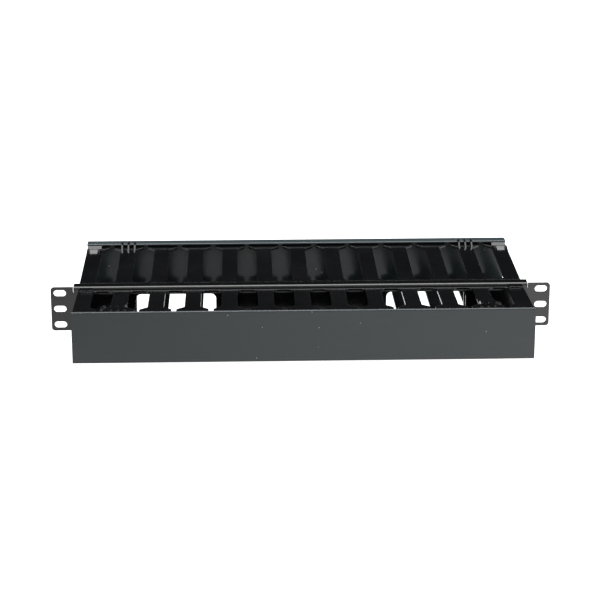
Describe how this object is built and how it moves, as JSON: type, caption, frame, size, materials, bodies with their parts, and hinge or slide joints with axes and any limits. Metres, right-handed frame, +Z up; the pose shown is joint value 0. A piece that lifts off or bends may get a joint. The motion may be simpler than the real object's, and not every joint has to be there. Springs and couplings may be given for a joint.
{
  "type": "horizontal cable manager",
  "caption": "Rack-mounted horizontal cable manager with slotted finger ducts in front of and behind a steel panel, each closed by a hinged cover.",
  "frame": {"origin": "centre of the mounting panel's rear face, which bears on the rack posts", "axes": "+X along the rack's width to the right seen from the front, -Y towards the front of the rack, +Z up"},
  "size_m": [0.4826, 0.2324, 0.0532],
  "materials": {
    "black_powder_coat": "fine satin powder coat",
    "black_moulding": "smooth moulded, semi-gloss",
    "cover_plastic": "satin extruded",
    "zinc_steel": "black zinc"
  },
  "bodies": {
    "chassis": {"mounting_panel": "black_powder_coat", "front_duct": "black_moulding", "rear_duct": "black_moulding", "duct_screw_left_outer": "zinc_steel", "screw_washer_left_outer": "zinc_steel", "nut_washer_left_outer": "zinc_steel", "hex_nut_left_outer": "zinc_steel", "duct_screw_left_inner": "zinc_steel", "screw_washer_left_inner": "zinc_steel", "nut_washer_left_inner": "zinc_steel", "hex_nut_left_inner": "zinc_steel", "duct_screw_right_inner": "zinc_steel", "screw_washer_right_inner": "zinc_steel", "nut_washer_right_inner": "zinc_steel", "hex_nut_right_inner": "zinc_steel", "duct_screw_right_outer": "zinc_steel", "screw_washer_right_outer": "zinc_steel", "nut_washer_right_outer": "zinc_steel", "hex_nut_right_outer": "zinc_steel"},
    "front_cover": {"front_cover": "cover_plastic"},
    "rear_cover": {"rear_cover": "cover_plastic"}
  },
  "joints": [
    {"name": "front_cover_hinge", "type": "hinge", "parent": "chassis", "child": "front_cover", "pos_m": [0, -0.0745, -0.0242], "axis": [1, 0, 0], "range_deg": [0, 120]},
    {"name": "rear_cover_hinge", "type": "hinge", "parent": "chassis", "child": "rear_cover", "pos_m": [0, 0.1311, 0.0242], "axis": [1, 0, 0], "range_deg": [0, 120]}
  ]
}
